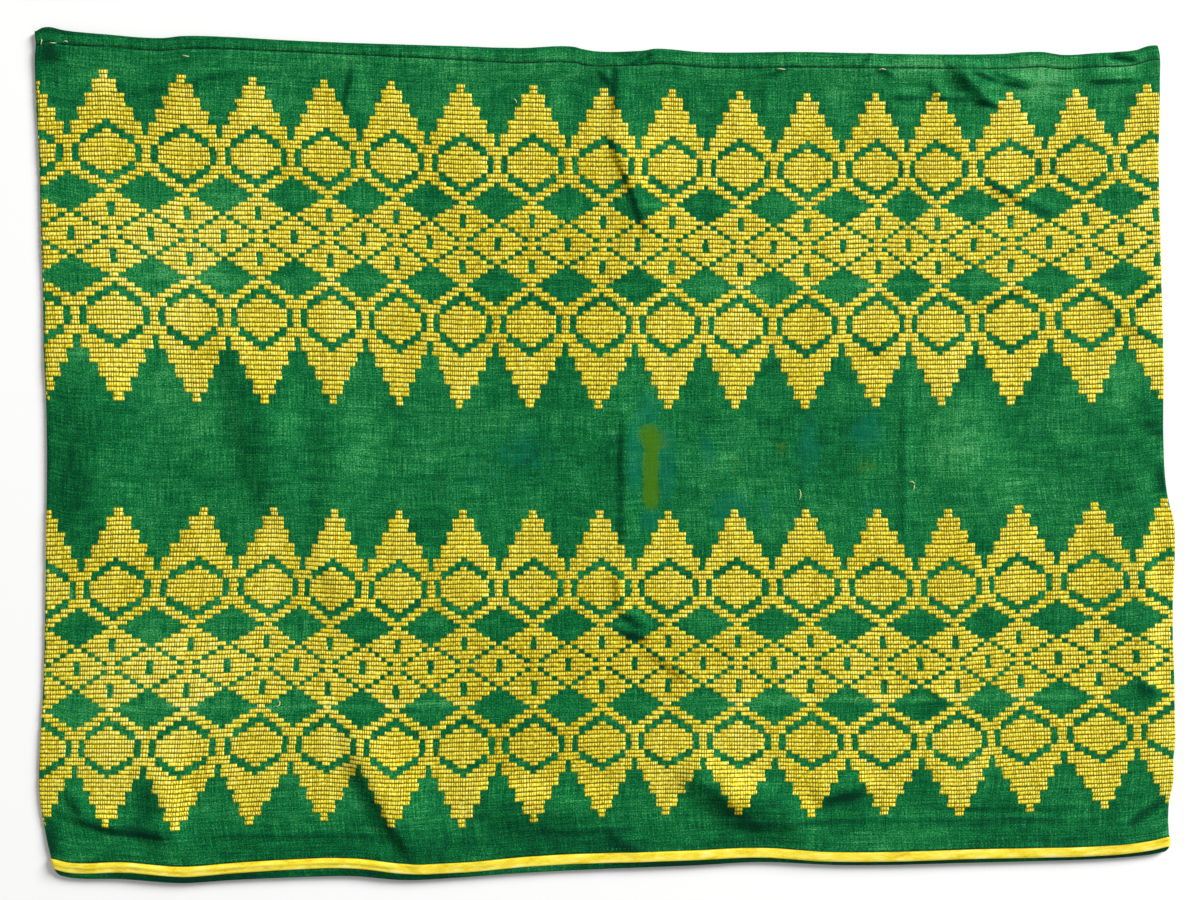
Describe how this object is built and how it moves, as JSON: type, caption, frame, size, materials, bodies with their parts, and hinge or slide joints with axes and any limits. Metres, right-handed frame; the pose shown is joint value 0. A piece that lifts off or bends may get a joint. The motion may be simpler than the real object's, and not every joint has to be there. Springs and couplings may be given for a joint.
{
  "type": "malong tube cloth",
  "caption": "Woven tube cloth laid flat, green with two bands of yellow weft pattern, hemmed at both ends, with a yellow ribbon round the lower hem.",
  "frame": {"origin": "middle of the cloth's outline, on the surface it lies on", "axes": "+X across the cloth between its side folds, +Y up it from the ribbon hem to the top hem, +Z up from the surface"},
  "size_m": [1.1418, 0.856, 0.0125],
  "materials": {
    "cloth": "plain weave with raised yellow weft floats, dull with a soft sheen",
    "ribbon": "smooth satin ribbon"
  },
  "bodies": {
    "root": {"malong_cloth": "cloth", "hem_ribbon": "ribbon"}
  },
  "joints": []
}
